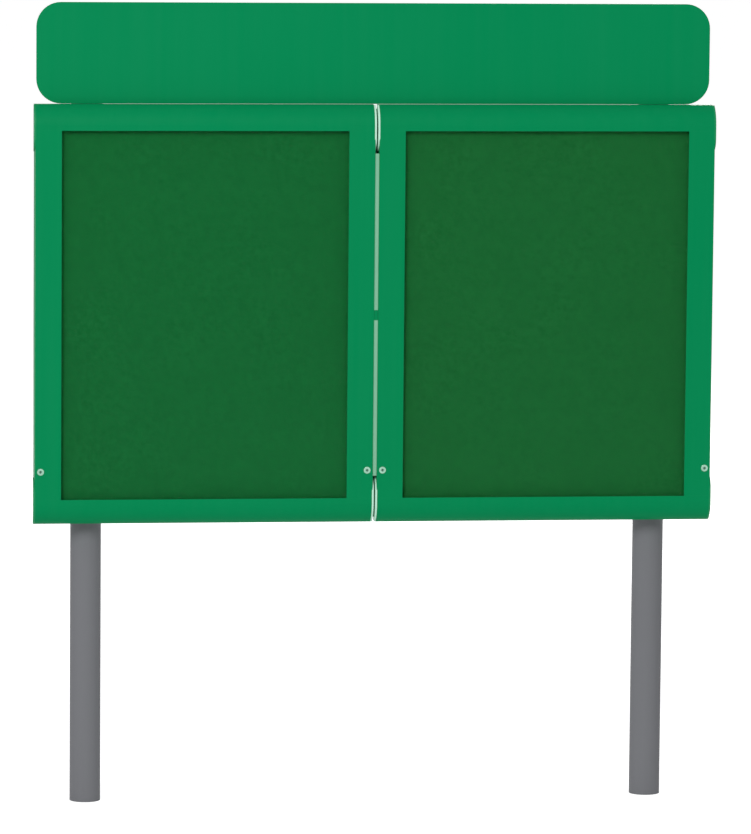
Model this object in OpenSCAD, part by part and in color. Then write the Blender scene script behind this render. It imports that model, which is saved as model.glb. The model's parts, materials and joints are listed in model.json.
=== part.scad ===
// Post-mounted outdoor sign: two top-hinged display cases side by side, with a header board above them,
// carried on two round posts. Millimetres, +Z up, front towards -Y, origin on the ground under the centre.

/* [Cases] */
// Width of one case over its stiles
case_w = 828; // [700:1:960]
// Height of one case
case_h = 1024; // [900:1:1200]
// Gap between the two cases
case_gap = 10; // [9:0.5:16]
// Height of the cases' underside above the ground
case_z = 700; // [400:5:1000]
// Depth of the fixed tray of a case, behind its door
tray_d = 26; // [25:0.5:40]
// Wall of the tray's folded edges
tray_wall = 2.5; // [2:0.1:3]
// Width of the tray's folded front lips
tray_lip = 14; // [13:0.5:16]
// Width of the lips folded behind the pan, which take the case bolts
back_lip = 54; // [51:0.5:54]

/* [Doors] */
// Depth of a door, from its front face to its back
door_d = 34; // [32:0.5:40]
// Gap between a closed door and its tray
part_gap = 3; // [2.8:0.1:4]
// Width of a door's stile beside the window
stile_w = 64; // [60:0.5:74]
// Height of a door's rail above and below the window
rail_h = 62; // [60:0.5:72]
// Wall of the door's hollow sections
door_wall = 2.5; // [2:0.1:3]
// Width of the lip that holds the glazing
glaze_lip = 14; // [10:0.5:16]
// Height of the rounded nose along the top and the bottom rail
nose_h = 50; // [40:0.5:54]
// Depth of the rounded nose
nose_d = 30; // [22:0.5:30]
// Angle that a door opens through
door_open = 85; // [70:1:88]

/* [Glazing and pinboard] */
// Thickness of the clear glazing
glazing_t = 3; // [2:0.5:4]
// Thickness of the gasket in front of the glazing
gasket_t = 1.5; // [1:0.1:2]
// Depth of the beads behind the glazing
bead_d = 8; // [5:0.5:9]
// Width of the beads
bead_w = 10; // [6:0.5:12]
// Thickness of the pinboard
board_t = 12; // [9:0.5:13]
// How far the pinboard reaches past the window on each side
board_over = 6; // [4:0.5:7]
// Clear space between the beads and the pinboard
board_gap = 5; // [4.5:0.1:7]
// Thickness of the pressed back pan
pan_t = 2; // [1.5:0.1:2.5]

/* [End caps] */
// Height of an end cap
cap_h = 114; // [95:1:116]
// How far an end cap stands proud of the stile
cap_proud = 3; // [2:0.1:3.5]
// Depth of the rebate that seats an end cap
cap_rebate = 1.5; // [1:0.1:1.5]
// Length of the boss that plugs an end cap into its rail
cap_boss = 12; // [8:0.5:20]

/* [Hinges] */
// Outer diameter of the hinge knuckles
knuckle_dia = 9; // [8:0.5:9]
// Diameter of the hinge pins
hinge_pin_dia = 5; // [4:0.1:5.5]
// Thickness of the hinge leaves
leaf_t = 1.2; // [1:0.1:1.3]
// Height of the hinge leaves below the knuckles
leaf_h = 20; // [15:0.5:22]
// Number of knuckles along one hinge, counting both leaves
knuckles = 13; // [7:2:21]
// Distance from the end of a rail to its hinge
hinge_end = 12; // [8:1:40]

/* [Gas struts] */
// Diameter of a strut's cylinder
strut_dia = 15; // [14:0.5:15]
// Diameter of a strut's rod
strut_rod_dia = 6; // [5:0.5:8]
// Distance from the top of a case to the struts' upper eyes
strut_top = 80; // [70:1:85]
// Height of the struts' lower eyes above the middle of a case
strut_up = 62; // [50:1:80]
// Length of bare rod and eye above a closed strut's cylinder
strut_neck = 46; // [40:1:60]
// Distance from the side of the case to a strut's centre line
strut_side = 26; // [24:0.5:32]
// Thickness of a strut's eyes
eye_t = 6; // [5:0.5:7]
// Diameter of the studs that the eyes turn on
stud_dia = 8; // [6:0.5:8]

/* [Locks] */
// Height of the locks above the underside of a case
lock_z = 131; // [124:1:140]
// Distance from the side of a case to a lock's centre
lock_side = 14; // [12.5:0.5:14]
// Diameter of a lock's front ring
lock_ring_dia = 17; // [15:0.5:18]
// Diameter of a lock's barrel
lock_barrel_dia = 12; // [11:0.5:12.5]
// Diameter of the plug that the key turns
lock_plug_dia = 6.4; // [5.5:0.1:7]
// Length of a lock's cam from its centre
cam_len = 28; // [24:0.5:32]
// Width of a lock's cam
cam_w = 10; // [8:0.5:11]
// Thickness of a lock's cam
cam_t = 2.5; // [2:0.1:3]

/* [Posts] */
// Outer diameter of a post
post_dia = 76; // [60:0.5:90]
// Wall of a post
post_wall = 3; // [2:0.1:5]
// Distance from the ends of the bearer channels to a post's axis
post_in = 110; // [80:1:250]
// How far the posts end below the top of the header
post_below = 24; // [20:1:40]

/* [Header] */
// How far the header board is narrower than the cases on each side
header_in = 5.5; // [0:0.5:30]
// Height of the header board
header_h = 246; // [200:1:320]
// Corner radius of the header board
header_r = 60; // [20:1:90]
// Thickness of the header board
header_t = 3; // [2:0.5:5]
// Gap between the header board and the cases
header_gap = 0.5; // [0.5:0.5:12]

/* [Channels and clamps] */
// Depth of the channels behind the cases and the header
channel_d = 21; // [20:0.5:30]
// Height of the channels
channel_h = 41; // [38:0.5:50]
// Wall of the channels
channel_wall = 2.5; // [2:0.1:3]
// Width of the slot along the back of a channel
channel_slot = 22; // [18:0.5:24]
// How far the channels behind the cases reach past their outer bolts
bearer_end = 19; // [12:1:30]
// How far the channels behind the header reach past the posts' axes
header_rail_end = 70; // [66:1:76]
// Distance from the ends of a case to its bearer channels
bearer_inset = 200; // [170:1:230]
// Distance from the edges of the header to its channels
header_rail_inset = 62; // [60:1:75]
// Thickness of the post clamps
clamp_t = 4; // [3:0.5:6]
// Height of the post clamps
clamp_h = 36; // [32:1:38]
// Width of a clamp's ear beside the post
clamp_ear = 26; // [24:0.5:32]
// Diameter of the clamp bolts
clamp_bolt_dia = 8; // [6:1:10]
// Diameter of the bolts that hold the cases
case_bolt_dia = 6; // [5:0.5:6]

/* [Joint between the cases] */
// Height of the block between the cases
block_h = 25; // [20:1:40]
// Gap between an end cap and the joint strips
strip_end = 3; // [3:0.5:12]
// Setback of the strips and the block from the front face
strip_set = 2; // [1:0.5:4]
// Depth of the strip's visible head
strip_head = 7; // [5:0.5:9]
// Thickness of the strip's web
strip_web = 3; // [2:0.5:4]
// Diameter of the bolts that join the cases
joint_bolt_dia = 6; // [5:0.5:8]

/* [Hidden] */
$fn = 96;

// Sides and edges, as seen from the front
LEFT = -1;
RIGHT = 1;
INNER = 0;
OUTER = 1;

// Clearances
running_fit = 0.05;
slip_fit = 0.1;
loose_fit = 0.3;
cut_over = 1;

// Colours
paint_green = [0.004, 0.53, 0.32];
felt_green = [0.09, 0.38, 0.19];
post_grey = [0.47, 0.475, 0.49];
light_grey = [0.72, 0.76, 0.73];
zinc = [0.62, 0.64, 0.66];
steel = [0.74, 0.75, 0.76];
dark_metal = [0.2, 0.21, 0.22];
black_rubber = [0.07, 0.07, 0.07];
clear = [0.75, 0.85, 0.85, 0.3];

// Depths behind the front face
tray_y = door_d + part_gap;
case_d = tray_y + tray_d;
channel_y = case_d;
post_axis_y = channel_y + channel_d + slip_fit + post_dia / 2;
clamp_r = post_dia / 2 + slip_fit;
overall_d = post_axis_y + clamp_r + clamp_t;

// The front face, placed so that the origin is under the middle of the whole depth, lock rings included
lock_ring_proud = 1.5;
front_y = (lock_ring_proud - overall_d) / 2;

// Rounded nose: the circle that leaves the flat front nose_h below the edge and ends nose_d back
nose_r = (nose_h * nose_h + nose_d * nose_d) / (2 * nose_d);

// Door
stile_box = stile_w - glaze_lip;
rail_box = rail_h - glaze_lip;
window_w = case_w - 2 * stile_w;
window_h = case_h - 2 * rail_h;
glazing_play = 2;
gasket_y = door_wall;
glazing_y = gasket_y + gasket_t;
bead_y = glazing_y + glazing_t;
board_y = bead_y + bead_d + board_gap;
pan_y = board_y + board_t;

// Hinge axis, behind the front face and below the top of the case
knuckle_play = 0.5;
knuckle_link = 0.6;
knuckle_room = 1.5;
hinge_y = door_d + part_gap / 2;
hinge_drop = knuckle_dia / 2 + knuckle_play;
hinge_cut_y = hinge_y - knuckle_dia / 2 - knuckle_play;
hinge_cut_z = hinge_drop + knuckle_dia / 2 + knuckle_room;
tray_cut_y = hinge_y + knuckle_dia / 2 + 2 * knuckle_play;
leaf_top = hinge_drop + knuckle_dia / 2 + knuckle_link;
hinge_len = case_w - 2 * hinge_end;
knuckle_pitch = hinge_len / knuckles;

// Tray
seal_w = 4;
seal_in = 1;
seal_top = leaf_top + leaf_h + seal_in;
tray_top_lip = seal_top + seal_w + seal_in;
pan_back_y = case_d - tray_wall;

// Strut, in the plane of its swing: lower eye fixed to the tray, upper eye carried by the door
strut_back = 2;
strut_y = pan_back_y - pan_t - strut_back - strut_dia / 2;
strut_foot = case_h / 2 - strut_up;
strut_len = strut_foot - strut_top;
strut_arm = [strut_y - hinge_y, hinge_drop - strut_top];
strut_root = [strut_y - hinge_y, hinge_drop - strut_foot];
strut_arm_open = [
    strut_arm.x * cos(door_open) + strut_arm.y * sin(door_open),
    strut_arm.y * cos(door_open) - strut_arm.x * sin(door_open)
];
strut_stroke = norm(strut_arm_open - strut_root) - strut_len;
strut_swing = atan((strut_root.x - strut_arm_open.x) / (strut_arm_open.y - strut_root.y));
eye_wall = 2.5;
eye_r = stud_dia / 2 + eye_wall;
tube_start = 12;
strut_tube = strut_len - tube_start - strut_neck;
tube_wall = 1.3;
tube_plug = 8;
piston_t = 10;

// Locks
cam_play = 1.5;
lock_back_y = tray_y + tray_wall + cam_play;
lock_tail_dia = 4;
cam_hook = 5.2;
lock_room = 2;

// Posts, header and channels
case_bolt_in = 12;
case_bolt_x = back_lip - case_bolt_in;
bearer_len = 2 * (case_gap / 2 + case_w - case_bolt_x + bearer_end);
post_x = bearer_len / 2 - post_in;
header_w = case_gap + 2 * case_w - 2 * header_in;
header_rail_len = 2 * (post_x + header_rail_end);
header_z = case_z + case_h + header_gap;
post_h = header_z + header_h - post_below;
header_y = channel_y - header_t;
bearer_z = [case_z + bearer_inset, case_z + case_h - bearer_inset];
header_rail_z = [header_z + header_rail_inset, header_z + header_h - header_rail_inset];
ear_y = channel_y + channel_d;
ear_bolt_x = clamp_r + clamp_t + (clamp_ear - clamp_t) / 2;

// Joint
strip_w = case_gap - 2 * loose_fit;
joint_back = 4;
joint_bolt_in = 164;
joint_y = tray_y + joint_back;
joint_bolt_z = [joint_bolt_in, case_h / 2, case_h - joint_bolt_in];
joint_bolt_y = (joint_y + case_d) / 2;

// Placing

module in_sign() translate([0, front_y, 0]) children();

// Puts a case's own frame in place: x runs outwards from the joint, y back from the front face, z up
module in_case(side)
    in_sign() translate([0, 0, case_z]) mirror([side == LEFT ? 1 : 0, 0, 0]) translate([case_gap / 2, 0, 0])
        children();

module at_edge(edge)
    if (edge == INNER) children();
    else translate([case_w, 0, 0]) mirror([1, 0, 0]) children();

module both_edges() for (edge = [INNER, OUTER]) at_edge(edge) children();

// Turns a drawing in y and z, measured from the edge of a case, into a bar along x
module along_x(length) rotate([90, 0, 90]) linear_extrude(length) children();

module along_y(length) translate([0, length, 0]) rotate([90, 0, 0]) linear_extrude(length) children();

module at_top() translate([0, 0, case_h]) children();

module at_bottom() mirror([0, 0, 1]) children();

module rod_x(length, dia) rotate([0, 90, 0]) cylinder(h = length, d = dia);

module rod_y(length, dia, sides = $fn) rotate([-90, 0, 0]) cylinder(h = length, d = dia, $fn = sides);

module round_rect(size, r) {
    translate([r, 0]) square([size.x - 2 * r, size.y]);
    translate([0, r]) square([size.x, size.y - 2 * r]);
    for (x = [r, size.x - r], y = [r, size.y - r]) translate([x, y]) circle(r);
}

// Posts

module post(side) color(post_grey)
    in_sign() translate([side * post_x, post_axis_y, 0]) difference() {
        cylinder(h = post_h, d = post_dia);
        translate([0, 0, -cut_over]) cylinder(h = post_h + 2 * cut_over, d = post_dia - 2 * post_wall);
    }

post_cap_skirt = 14;
post_cap_t = 2.5;

module post_caps() color(black_rubber)
    for (side = [LEFT, RIGHT])
        in_sign() translate([side * post_x, post_axis_y, post_h - post_cap_skirt]) difference() {
            rotate_extrude() square([clamp_r + post_cap_t, post_cap_skirt + post_cap_t]);
            translate([0, 0, -cut_over]) cylinder(h = post_cap_skirt + cut_over, r = clamp_r);
        }

// Header board, with its channels at the back

// The board has studs welded to its back, so that its front is bare
module header_panel() color(paint_green) {
    in_sign() translate([-header_w / 2, header_y, header_z])
        along_y(header_t) round_rect([header_w, header_h], header_r);
    at_header_studs() translate([0, -cut_over, 0])
        rod_y(cut_over + channel_wall + fixing_nut_t + bolt_end, case_bolt_dia);
}

module at_header_studs()
    in_sign() for (z = header_rail_z, i = [0:header_studs - 1])
        translate([(i - (header_studs - 1) / 2) * header_stud_pitch, channel_y, z]) children();

module channel_profile() difference() {
    translate([0, -channel_h / 2]) square([channel_d, channel_h]);
    translate([channel_wall, channel_wall - channel_h / 2])
        square([channel_d - 2 * channel_wall, channel_h - 2 * channel_wall]);
    translate([channel_wall, -channel_slot / 2]) square([channel_d, channel_slot]);
}

module channel(length) translate([-length / 2, channel_y, 0]) along_x(length) channel_profile();

module header_rails() color(zinc) difference() {
    in_sign() for (z = header_rail_z) translate([0, 0, z]) channel(header_rail_len);
    at_header_studs() translate([0, -cut_over, 0])
        rod_y(channel_wall + 2 * cut_over, case_bolt_dia + 2 * loose_fit);
}

module bearers() color(zinc)
    in_sign() for (z = bearer_z) translate([0, 0, z]) difference() {
        channel(bearer_len);
        at_case_bolts() translate([0, channel_y - cut_over, 0])
            rod_y(channel_wall + 2 * cut_over, case_bolt_dia + 2 * loose_fit);
    }

// Clamps that hold the channels to the posts

module clamp_plan() difference() {
    union() {
        circle(clamp_r + clamp_t);
        translate([-clamp_r - clamp_t, ear_y - post_axis_y])
            square([2 * (clamp_r + clamp_t), post_axis_y - ear_y]);
        translate([-clamp_r - clamp_ear, ear_y - post_axis_y]) square([2 * (clamp_r + clamp_ear), clamp_t]);
    }
    circle(clamp_r);
    translate([-clamp_r, -post_dia]) square([2 * clamp_r, post_dia]);
    translate([-post_dia, ear_y - post_axis_y - post_dia]) square([2 * post_dia, post_dia]);
}

module at_clamps()
    in_sign() for (side = [LEFT, RIGHT], z = concat(bearer_z, header_rail_z))
        translate([side * post_x, 0, z]) children();

module at_clamp_bolts() at_clamps() for (x = [-ear_bolt_x, ear_bolt_x]) translate([x, 0, 0]) children();

module post_clamps() color(zinc) difference() {
    at_clamps() translate([0, post_axis_y, -clamp_h / 2]) linear_extrude(clamp_h) clamp_plan();
    at_clamp_bolts() translate([0, ear_y - cut_over, 0])
        rod_y(clamp_t + 2 * cut_over, clamp_bolt_dia + 2 * loose_fit);
}

channel_nut_play = 1;
channel_nut_t = 6;
channel_nut_w = 24;
channel_nut_h = channel_h - 2 * channel_wall - 2 * channel_nut_play;
bolt_end = 1;
clamp_head_t = 5.3;
clamp_head_dia = 1.85 * clamp_bolt_dia;

module clamp_bolts() color(steel) at_clamp_bolts() {
    translate([0, ear_y + clamp_t, 0]) rod_y(clamp_head_t, clamp_head_dia, 6);
    translate([0, ear_y - channel_wall - channel_nut_t - bolt_end, 0])
        rod_y(channel_wall + channel_nut_t + clamp_t + bolt_end, clamp_bolt_dia);
}

module channel_nuts() color(zinc) at_clamp_bolts()
    translate([0, ear_y - channel_wall - channel_nut_t, 0]) difference() {
        translate([-channel_nut_w / 2, 0, -channel_nut_h / 2])
            cube([channel_nut_w, channel_nut_t, channel_nut_h]);
        translate([0, -cut_over, 0]) rod_y(channel_nut_t + 2 * cut_over, clamp_bolt_dia + 2 * slip_fit);
    }

// Bolts that hold the cases to the bearers, through the folded back edge of the tray

module at_case_bolts()
    for (side = [LEFT, RIGHT], x = [case_bolt_x, case_w - case_bolt_x])
        translate([side * (case_gap / 2 + x), 0, 0]) children();

case_head_t = 3.5;
case_head_dia = 1.7 * case_bolt_dia;
fixing_nut_t = 5;
fixing_nut_dia = 1.9 * case_bolt_dia;
header_studs = 4;
header_stud_pitch = header_rail_len / (header_studs + 0.5);

module case_bolts() color(steel)
    in_sign() for (z = bearer_z) translate([0, 0, z]) at_case_bolts() {
        translate([0, pan_back_y - pan_t - case_head_t, 0]) rod_y(case_head_t, case_head_dia);
        translate([0, pan_back_y - pan_t, 0])
            rod_y(pan_t + tray_wall + channel_wall + fixing_nut_t + bolt_end, case_bolt_dia);
    }

module fixing_nut() translate([0, channel_wall, 0]) difference() {
    rod_y(fixing_nut_t, fixing_nut_dia, 6);
    translate([0, -cut_over, 0]) rod_y(fixing_nut_t + 2 * cut_over, case_bolt_dia + 2 * slip_fit);
}

module fixing_nuts() color(steel) {
    in_sign() for (z = bearer_z) translate([0, channel_y, z]) at_case_bolts() fixing_nut();
    at_header_studs() fixing_nut();
}

module case_bolt_holes(y, depth)
    for (z = [bearer_inset, case_h - bearer_inset], x = [case_bolt_x, case_w - case_bolt_x])
        translate([x, y - cut_over, z]) rod_y(depth + 2 * cut_over, case_bolt_dia + 2 * loose_fit);

// Tray of a case: rails above and below, sides, a pressed back pan, the pinboard on it and the seal

module tray_top_profile() {
    translate([tray_cut_y, -tray_wall]) square([case_d - tray_cut_y, tray_wall]);
    translate([tray_cut_y, -hinge_cut_z - tray_wall]) square([tray_wall, hinge_cut_z + tray_wall]);
    translate([tray_y, -hinge_cut_z - tray_wall]) square([tray_cut_y + tray_wall - tray_y, tray_wall]);
    translate([tray_y, -tray_top_lip]) square([tray_wall, tray_top_lip - hinge_cut_z]);
    translate([pan_back_y, -tray_lip]) square([tray_wall, tray_lip]);
}

module tray_bottom_profile() {
    translate([tray_y, 0]) square([tray_d, tray_wall]);
    for (y = [tray_y, pan_back_y]) translate([y, 0]) square([tray_wall, tray_lip]);
}

module case_rails(side) color(paint_green)
    in_case(side) translate([tray_wall, 0, 0]) {
        at_top() along_x(case_w - 2 * tray_wall) tray_top_profile();
        along_x(case_w - 2 * tray_wall) tray_bottom_profile();
    }

module tray_side_wall() difference() {
    translate([tray_y, 0]) square([tray_d, case_h]);
    translate([tray_y - cut_over, case_h - hinge_cut_z])
        square([tray_cut_y - tray_y + cut_over, hinge_cut_z + cut_over]);
}

// Where the lock passes the front lip; the strip left beside it is the cam's catch
module lock_gap()
    translate([cam_hook, tray_y - cut_over, lock_z - lock_barrel_dia / 2 - lock_room])
        cube([tray_lip, tray_wall + 2 * cut_over, lock_barrel_dia + 2 * lock_room]);

module case_sides(side) color(paint_green)
    in_case(side) difference() {
        both_edges() {
            along_x(tray_wall) tray_side_wall();
            translate([0, 0, tray_lip]) difference() {
                translate([0, tray_y, 0])
                    cube([tray_lip, tray_wall, case_h - tray_lip - tray_top_lip]);
                translate([0, 0, -tray_lip]) lock_gap();
            }
            translate([0, pan_back_y, tray_lip]) cube([back_lip, tray_wall, case_h - 2 * tray_lip]);
        }
        case_bolt_holes(pan_back_y, tray_wall);
        for (z = joint_bolt_z) translate([-cut_over, joint_bolt_y, z])
            rod_x(tray_wall + 2 * cut_over, joint_bolt_dia + 2 * loose_fit);
    }

pan_corner = 6;
pan_edge_w = stile_w - board_over;
pan_edge_h = rail_h - board_over;
board_w = window_w + 2 * board_over;
board_h = window_h + 2 * board_over;

module case_back(side) color(zinc)
    in_case(side) difference() {
        union() {
            translate([tray_wall, pan_back_y - pan_t, tray_wall])
                cube([case_w - 2 * tray_wall, pan_t, case_h - 2 * tray_wall]);
            translate([pan_edge_w, pan_y, pan_edge_h])
                along_y(pan_back_y - pan_y) round_rect([board_w, board_h], pan_corner);
        }
        translate([pan_edge_w + pan_t, pan_y + pan_t, pan_edge_h + pan_t])
            along_y(pan_back_y - pan_y)
                round_rect([board_w - 2 * pan_t, board_h - 2 * pan_t], pan_corner - pan_t);
        case_bolt_holes(pan_back_y - pan_t, pan_t);
    }

module pinboard(side) color(felt_green)
    in_case(side) translate([pan_edge_w, board_y, pan_edge_h]) cube([board_w, board_t, board_h]);

seal_size = [case_w - 2 * seal_in, case_h - seal_top - seal_in];

module case_seal(side) color(black_rubber)
    in_case(side) translate([seal_in, door_d + loose_fit, seal_in])
        frame_ring(seal_size, seal_size - [2 * seal_w, 2 * seal_w], part_gap - loose_fit);

// Door: rounded rails, stiles, glazing with its gasket and beads

// Room behind the front skin, seen from the end of a rail, with its top edge at z = 0
module nose_room(inset, height) intersection() {
    union() {
        translate([nose_r, -nose_h]) circle(nose_r - inset);
        translate([inset, -height]) square([door_d, height - nose_h]);
    }
    translate([0, -height]) square([door_d, height]);
}

// A box that is stepped back behind, where the knuckles of the hinge pass
module stepped_box(hinged, height, inset) translate([inset, inset - height]) {
    square([door_d - 2 * inset, height - (hinged ? hinge_cut_z : 0) - 2 * inset]);
    square([(hinged ? hinge_cut_y : door_d) - 2 * inset, height - 2 * inset]);
}

module rail_section(hinged, inset) intersection() {
    nose_room(inset, rail_box);
    stepped_box(hinged, rail_box, inset);
}

module rail_profile(hinged) {
    difference() {
        rail_section(hinged, 0);
        rail_section(hinged, door_wall);
    }
    translate([0, -rail_h]) square([door_wall, glaze_lip]);
}

module door_rails(side) color(paint_green)
    in_case(side) translate([cap_rebate, 0, 0]) {
        at_top() along_x(case_w - 2 * cap_rebate) rail_profile(true);
        at_bottom() along_x(case_w - 2 * cap_rebate) rail_profile(false);
    }

module stile_profile() {
    difference() {
        square([stile_box, door_d]);
        translate([door_wall, door_wall]) square([stile_box - 2 * door_wall, door_d - 2 * door_wall]);
    }
    square([stile_w, door_wall]);
}

module door_stiles(side) color(paint_green)
    in_case(side) both_edges() difference() {
        translate([0, 0, rail_box]) linear_extrude(case_h - 2 * rail_box) stile_profile();
        for (z = [rail_box - cut_over, case_h - rail_h])
            translate([-cut_over, -cut_over, z])
                cube([stile_w + 2 * cut_over, door_wall + cut_over, glaze_lip + cut_over]);
        cap_seats();
        translate([lock_side, -cut_over, lock_z])
            rod_y(door_d + 2 * cut_over, lock_barrel_dia + 2 * slip_fit);
    }

module frame_ring(outer, inner, depth) difference() {
    cube([outer.x, depth, outer.y]);
    translate([(outer.x - inner.x) / 2, -cut_over, (outer.y - inner.y) / 2])
        cube([inner.x, depth + 2 * cut_over, inner.y]);
}

glazing_w = window_w + 2 * (glaze_lip - glazing_play);
glazing_h = window_h + 2 * (glaze_lip - glazing_play);
glazing_x = stile_box + glazing_play;
glazing_z = rail_box + glazing_play;

module glazing(side) color(clear)
    in_case(side) translate([glazing_x, glazing_y, glazing_z]) cube([glazing_w, glazing_t, glazing_h]);

module glazing_gasket(side) color(black_rubber)
    in_case(side) translate([glazing_x, gasket_y, glazing_z])
        frame_ring([glazing_w, glazing_h], [window_w + glazing_play, window_h + glazing_play], gasket_t);

// Two upright beads between the boxes of the rails, and two level ones between those
module glazing_beads(side) color(paint_green)
    in_case(side) translate([0, bead_y, 0]) {
        for (x = [stile_box, case_w - stile_box - bead_w])
            translate([x, 0, rail_box]) cube([bead_w, bead_d, case_h - 2 * rail_box]);
        for (z = [rail_box, case_h - rail_box - bead_w])
            translate([stile_box + bead_w + loose_fit, 0, z])
                cube([case_w - 2 * (stile_box + bead_w + loose_fit), bead_d, bead_w]);
    }

// End caps: a plate with the rail's own outline that ends in a quarter round, and a boss in the rail

cap_round = door_d;

module cap_outline(hinged) {
    intersection() {
        nose_room(0, cap_h - cap_round);
        stepped_box(hinged, cap_h - cap_round, 0);
    }
    cap_foot(0);
}

// The quarter round that a cap ends in
module cap_foot(play) intersection() {
    translate([door_d, cap_round - cap_h]) circle(cap_round + play);
    translate([-play, -cap_h - play]) square([door_d + play, cap_round + play]);
}

module end_cap(hinged) {
    translate([-cap_proud, 0, 0]) along_x(cap_proud + cap_rebate) cap_outline(hinged);
    translate([cap_rebate, 0, 0]) along_x(cap_boss) rail_section(hinged, door_wall + slip_fit);
}

// The rebates in the side of a stile that the caps lie in
module cap_seat() translate([-cut_over, 0, 0]) along_x(cut_over + cap_rebate) {
    translate([-cut_over, cap_round - cap_h]) square([door_d + 2 * cut_over, cap_h - cap_round]);
    cap_foot(slip_fit);
}

module cap_seats() {
    at_top() cap_seat();
    at_bottom() cap_seat();
}

module end_caps(side, edge) color(edge == INNER ? light_grey : paint_green)
    in_case(side) at_edge(edge) {
        at_top() end_cap(true);
        at_bottom() end_cap(false);
    }

// Hinge: alternate knuckles on two leaves, and the pin through them

module knuckle_run(first) {
    for (i = [first:2:knuckles - 1])
        translate([hinge_end + i * knuckle_pitch + loose_fit / 2, hinge_y, -hinge_drop])
            rod_x(knuckle_pitch - loose_fit, knuckle_dia);
}

module leaf(y, first) {
    translate([hinge_end, y, -leaf_top - leaf_h]) cube([hinge_len, leaf_t, leaf_h]);
    for (i = [first:2:knuckles - 1])
        translate([hinge_end + i * knuckle_pitch + loose_fit / 2, y, -leaf_top - cut_over])
            cube([knuckle_pitch - loose_fit, leaf_t, leaf_top + cut_over - hinge_drop]);
}

module hinge_half(y, first) difference() {
    union() {
        knuckle_run(first);
        leaf(y, first);
    }
    translate([0, hinge_y, -hinge_drop]) rod_x(case_w, hinge_pin_dia + 2 * running_fit);
}

module hinge_leaves() color(steel)
    for (side = [LEFT, RIGHT]) in_case(side) at_top() hinge_half(tray_y - leaf_t, 0);

module door_hinge(side) color(steel) in_case(side) at_top() hinge_half(door_d, 1);

module hinge_pin(side) color(steel)
    in_case(side) at_top() translate([hinge_end, hinge_y, -hinge_drop]) rod_x(hinge_len, hinge_pin_dia);

// Gas struts: the cylinder turns on the tray's stud, and the rod reaches the door's stud

bracket_h = 40;
bracket_t = 3;
stud_head = 2;

module strut_eye(bore) difference() {
    translate([strut_side - eye_t / 2, 0, 0]) rod_x(eye_t, 2 * eye_r);
    translate([strut_side - eye_t, 0, 0]) rod_x(2 * eye_t, bore);
}

module strut_bracket() {
    translate([tray_wall, -eye_r, -bracket_h / 2]) cube([bracket_t, 2 * eye_r, bracket_h]);
    translate([tray_wall, 0, 0]) rod_x(strut_side + eye_t / 2 + stud_head + loose_fit - tray_wall, stud_dia);
    translate([strut_side + eye_t / 2 + loose_fit, 0, 0]) rod_x(stud_head, stud_dia + eye_wall);
}

module strut_brackets() color(zinc)
    for (side = [LEFT, RIGHT]) in_case(side) both_edges()
        translate([0, strut_y, case_h - strut_foot]) strut_bracket();

module strut_cylinder() {
    translate([0, 0, tube_start]) difference() {
        cylinder(h = strut_tube, d = strut_dia);
        translate([0, 0, tube_plug])
            cylinder(h = strut_tube - 2 * tube_plug, d = strut_dia - 2 * tube_wall);
        translate([0, 0, strut_tube - tube_plug - cut_over])
            cylinder(h = tube_plug + 2 * cut_over, d = strut_rod_dia + 2 * running_fit);
    }
    difference() {
        translate([-eye_t / 2, -eye_r, 0]) cube([eye_t, 2 * eye_r, tube_start]);
        translate([-eye_t, 0, 0]) rod_x(2 * eye_t, stud_dia + 2 * running_fit);
    }
}

module strut_cylinders(side) color(dark_metal)
    in_case(side) both_edges() translate([0, strut_y, case_h - strut_foot]) {
        translate([strut_side, 0, 0]) strut_cylinder();
        strut_eye(stud_dia + 2 * running_fit);
    }

rod_in_tube = tube_start + strut_tube - strut_stroke - tube_plug - 2 * piston_t;

module strut_rod() {
    translate([0, 0, rod_in_tube]) cylinder(h = strut_len - stud_dia / 2 - rod_in_tube, d = strut_rod_dia);
    translate([0, 0, rod_in_tube]) cylinder(h = piston_t, d = strut_dia - 2 * tube_wall - 2 * running_fit);
}

module strut_rods(side) color(steel)
    in_case(side) both_edges() translate([0, strut_y, case_h - strut_foot]) {
        translate([strut_side, 0, 0]) strut_rod();
        translate([0, 0, strut_len]) strut_eye(stud_dia);
    }

// Bracket on the back of the stile. Its stud stops just short of the rod's eye.
module strut_stud() {
    web_x = strut_side + eye_t / 2 + loose_fit + stud_head;
    translate([web_x, door_d, -bracket_h / 2]) cube([bracket_t, strut_y + eye_r - door_d, bracket_h]);
    translate([web_x, door_d, -bracket_h / 2]) cube([stile_box - web_x - door_wall, bracket_t, bracket_h]);
    translate([strut_side + eye_t / 2 + loose_fit, strut_y, 0]) rod_x(stud_head, stud_dia);
}

module strut_studs(side) color(zinc)
    in_case(side) both_edges() translate([0, 0, case_h - strut_top]) strut_stud();

// Cam locks: the barrel in the stile, the plug in it and the cam that hooks behind the tray's front edge

module at_lock(side, edge)
    in_case(side) at_edge(edge) translate([lock_side, 0, lock_z]) children();

lock_plug_proud = 1;
key_slot_w = 1.2;
key_slot_h = 4;
key_slot_d = 6;

module lock_housings(side) color(steel)
    for (edge = [INNER, OUTER]) at_lock(side, edge) difference() {
        union() {
            translate([0, -lock_ring_proud, 0]) rod_y(lock_ring_proud, lock_ring_dia);
            translate([0, -cut_over / 2, 0]) rod_y(lock_back_y + cut_over / 2, lock_barrel_dia);
        }
        translate([0, -lock_ring_proud - cut_over, 0])
            rod_y(lock_back_y + lock_ring_proud + 2 * cut_over, lock_plug_dia + 2 * running_fit);
    }

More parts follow.
